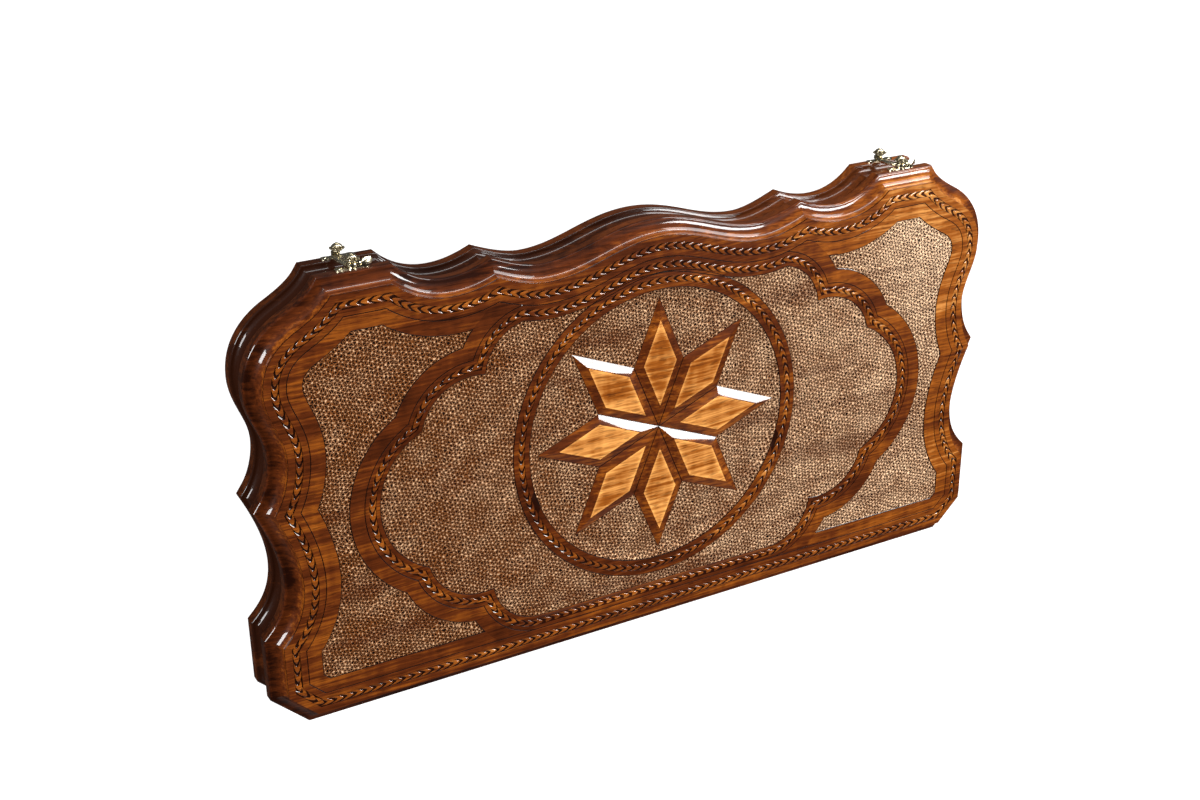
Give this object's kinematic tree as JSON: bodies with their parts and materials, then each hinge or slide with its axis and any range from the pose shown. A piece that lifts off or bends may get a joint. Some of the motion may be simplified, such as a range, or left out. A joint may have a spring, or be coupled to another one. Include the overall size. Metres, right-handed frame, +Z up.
{
  "type": "folding backgammon board",
  "caption": "Folding backgammon board with a scalloped, moulded and carved wooden case, inlaid playing points inside, butt hinges along one edge and swing hook latches along the other.",
  "frame": {"origin": "centre of the bottom of the closed board's bounding box, on the surface that it lies on", "axes": "+X along the hinge edge, +Y from the hinge edge to the latch edge, +Z up through the lower half and then the lid"},
  "size_m": [0.6, 0.3292, 0.055],
  "materials": {
    "carved_wood": "gloss varnish over a red-brown stain",
    "rail_wood": "gloss varnish over a dark red-brown stain",
    "field_wood": "satin varnish",
    "light_inlay": "satin varnish",
    "dark_inlay": "satin varnish",
    "brass": "aged, softly polished",
    "steel": "aged plating"
  },
  "bodies": {
    "base": {"base_panel": "carved_wood", "base_latch_rail": "rail_wood", "base_hinge_rail": "rail_wood", "base_left_cheek": "rail_wood", "base_right_cheek": "rail_wood", "base_field": "field_wood", "base_light_points": "light_inlay", "base_dark_points": "dark_inlay", "left_hinge_base_leaf": "brass", "right_hinge_base_leaf": "brass", "left_hinge_pin": "steel", "right_hinge_pin": "steel", "base_hinge_screws": "steel", "left_catch_plate": "brass", "right_catch_plate": "brass", "left_catch_stud": "brass", "right_catch_stud": "brass", "base_latch_nails": "steel"},
    "lid": {"lid_panel": "carved_wood", "lid_latch_rail": "rail_wood", "lid_hinge_rail": "rail_wood", "lid_left_cheek": "rail_wood", "lid_right_cheek": "rail_wood", "lid_field": "field_wood", "lid_light_points": "light_inlay", "lid_dark_points": "dark_inlay", "left_hinge_lid_leaf": "brass", "right_hinge_lid_leaf": "brass", "lid_hinge_screws": "steel", "left_latch_plate": "brass", "right_latch_plate": "brass", "left_latch_pivot": "brass", "right_latch_pivot": "brass", "lid_latch_nails": "steel"},
    "left_hook": {"left_latch_hook": "brass"},
    "right_hook": {"right_latch_hook": "brass"}
  },
  "joints": [
    {"name": "lid_fold", "type": "hinge", "parent": "base", "child": "lid", "pos_m": [0, -0.16165, 0.0275], "axis": [1, 0, 0], "range_deg": [0, 180]},
    {"name": "left_hook_swing", "type": "hinge", "parent": "lid", "child": "left_hook", "pos_m": [-0.21775, 0.15765, 0.04], "axis": [0, 1, 0], "range_deg": [0, 95]},
    {"name": "right_hook_swing", "type": "hinge", "parent": "lid", "child": "right_hook", "pos_m": [0.21775, 0.15765, 0.04], "axis": [0, 1, 0], "range_deg": [0, 95]}
  ]
}
